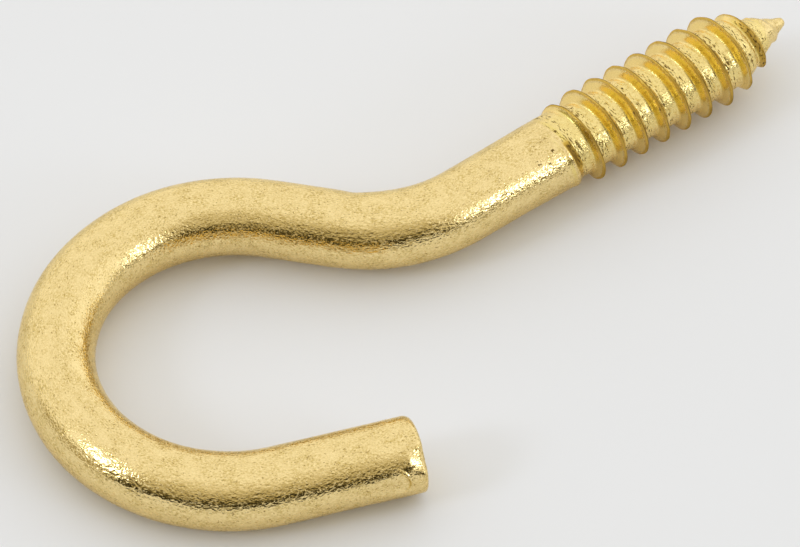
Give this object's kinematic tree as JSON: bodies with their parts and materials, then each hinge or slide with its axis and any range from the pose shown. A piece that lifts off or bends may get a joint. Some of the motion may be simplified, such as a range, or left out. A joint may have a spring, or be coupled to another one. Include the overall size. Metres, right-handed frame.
{
  "type": "cup hook",
  "caption": "Round-bend screw hook of brass-plated wire: an open ring on an offset neck, a plain shank and a wood-screw thread with a gimlet point.",
  "frame": {"origin": "on the screw's axis, at the shoulder where the first groove of the thread starts", "axes": "+X along the screw towards its point, the hook's bends in the XY plane with the ring towards -X, +Z out of the plane of the hook, up as it lies"},
  "size_m": [0.0586, 0.0294, 0.006],
  "materials": {
    "brass_plating": "bright brass plating on drawn wire, finely pitted"
  },
  "bodies": {
    "root": {"hook": "brass_plating"}
  },
  "joints": []
}
